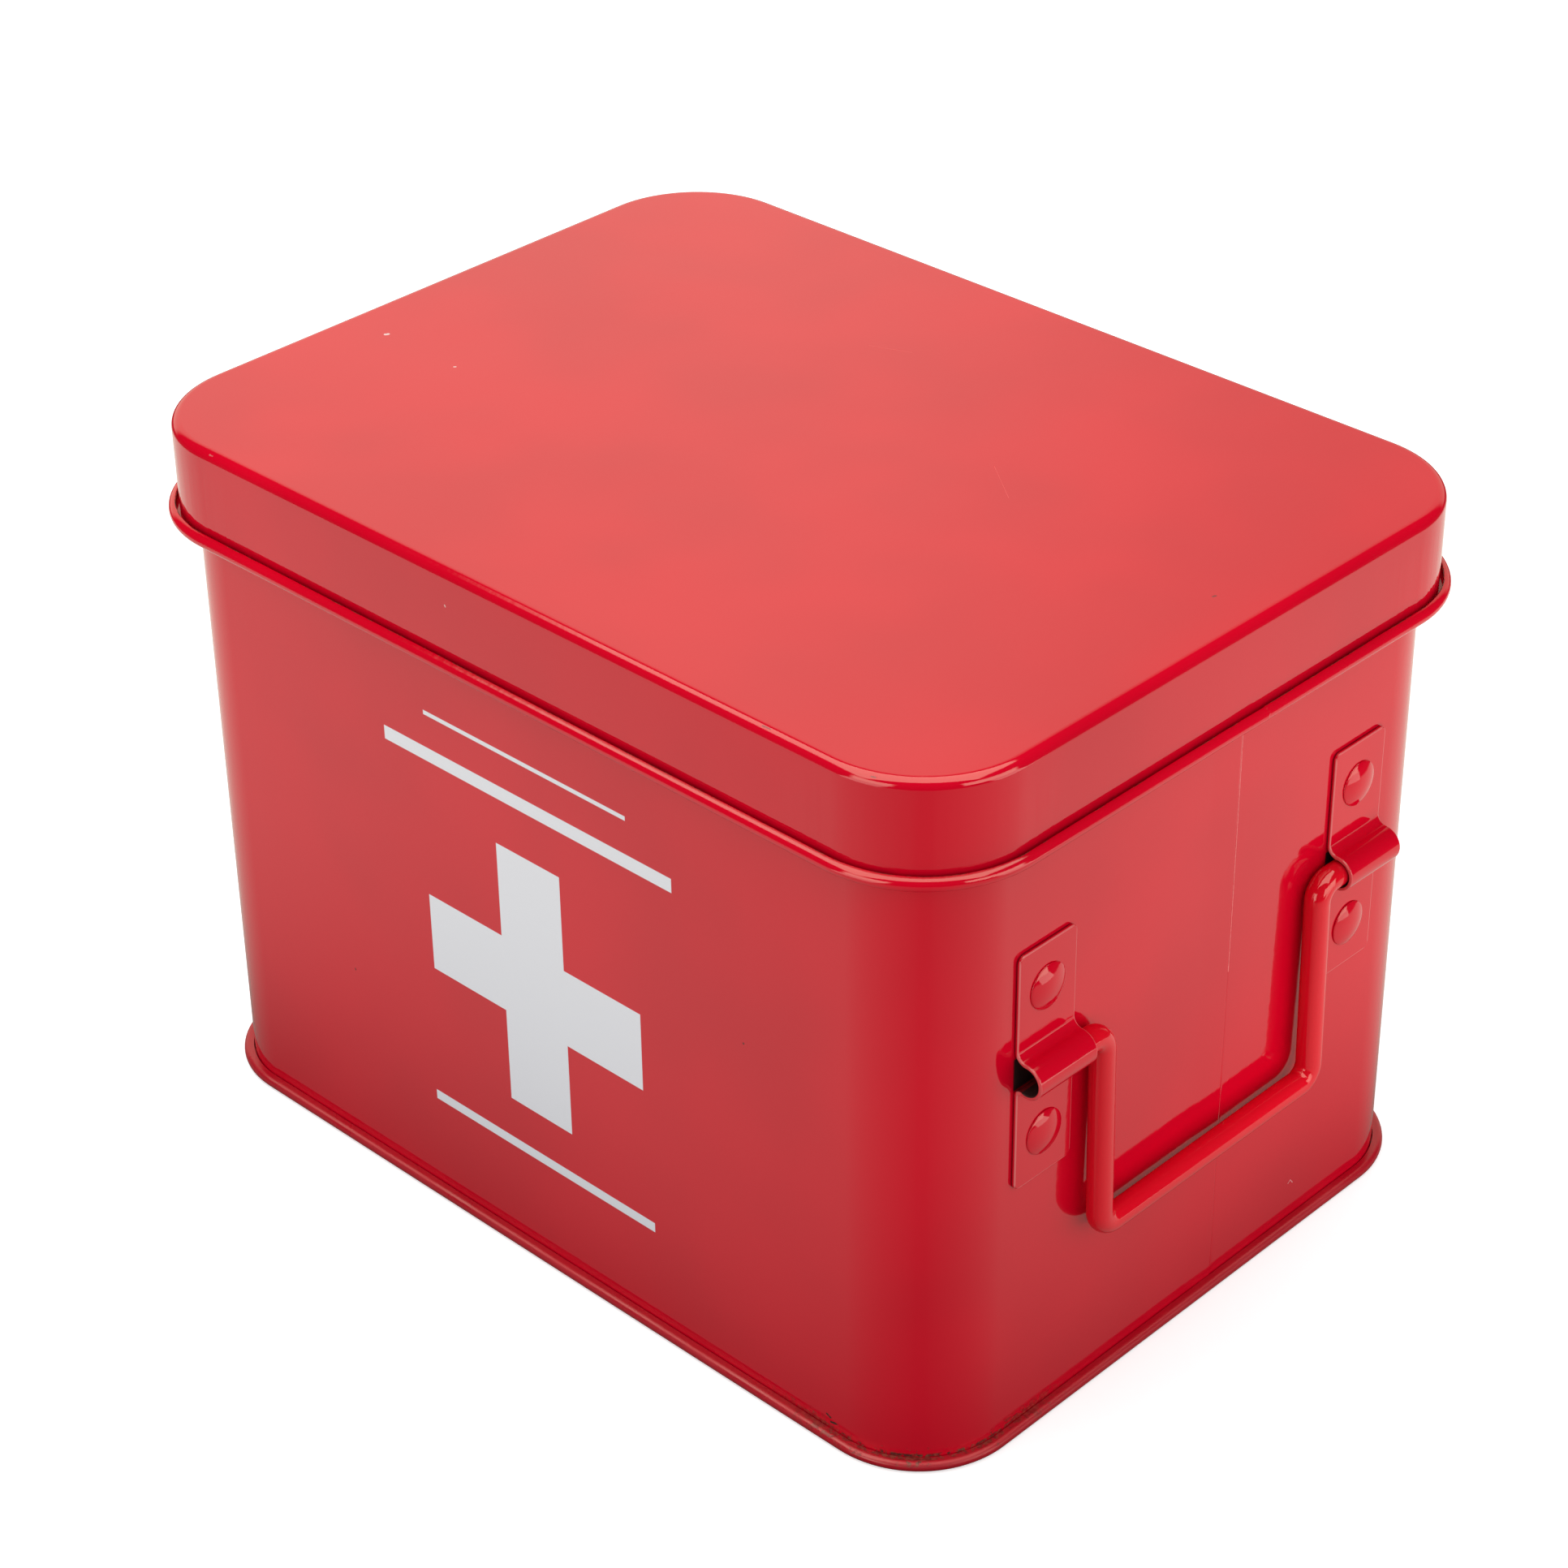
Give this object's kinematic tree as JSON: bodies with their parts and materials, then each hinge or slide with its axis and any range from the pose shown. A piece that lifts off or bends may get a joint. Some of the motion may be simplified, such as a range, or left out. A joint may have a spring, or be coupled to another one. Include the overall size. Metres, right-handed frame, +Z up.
{
  "type": "first-aid tin",
  "caption": "Rounded rectangular painted steel tin with a lift-off lid, a curled rim, a seamed bottom and a swinging wire bail on each end.",
  "frame": {"origin": "centre of the footprint, on the surface the tin stands on", "axes": "+X along the length, out of the end wall that has the lock seam; +Y towards the back, away from the printed front; +Z up, out of the lid"},
  "size_m": [0.2568, 0.1902, 0.18],
  "materials": {
    "lid_enamel": "gloss",
    "body_enamel": "gloss",
    "bracket_enamel": "gloss",
    "bail_enamel": "gloss"
  },
  "bodies": {
    "tin": {"body_wall": "body_enamel", "neck_ring": "body_enamel", "bottom_panel": "body_enamel", "bracket_right_front": "bracket_enamel", "bracket_right_rear": "bracket_enamel", "bracket_left_front": "bracket_enamel", "bracket_left_rear": "bracket_enamel", "rivet_right_front_upper": "bracket_enamel", "rivet_right_front_lower": "bracket_enamel", "rivet_right_rear_upper": "bracket_enamel", "rivet_right_rear_lower": "bracket_enamel", "rivet_left_front_upper": "bracket_enamel", "rivet_left_front_lower": "bracket_enamel", "rivet_left_rear_upper": "bracket_enamel", "rivet_left_rear_lower": "bracket_enamel"},
    "lid": {"lid": "lid_enamel"},
    "bail_right": {"bail_right": "bail_enamel"},
    "bail_left": {"bail_left": "bail_enamel"}
  },
  "joints": [
    {"name": "lid_lift", "type": "slide", "parent": "tin", "child": "lid", "axis": [0, 0, 1], "range_m": [0, 0.08]},
    {"name": "bail_right_swing", "type": "hinge", "parent": "tin", "child": "bail_right", "pos_m": [0.1241, 0, 0.099], "axis": [0, -1, 0], "range_deg": [-1, 177]},
    {"name": "bail_left_swing", "type": "hinge", "parent": "tin", "child": "bail_left", "pos_m": [-0.1241, 0, 0.099], "axis": [0, 1, 0], "range_deg": [-1, 177]}
  ]
}
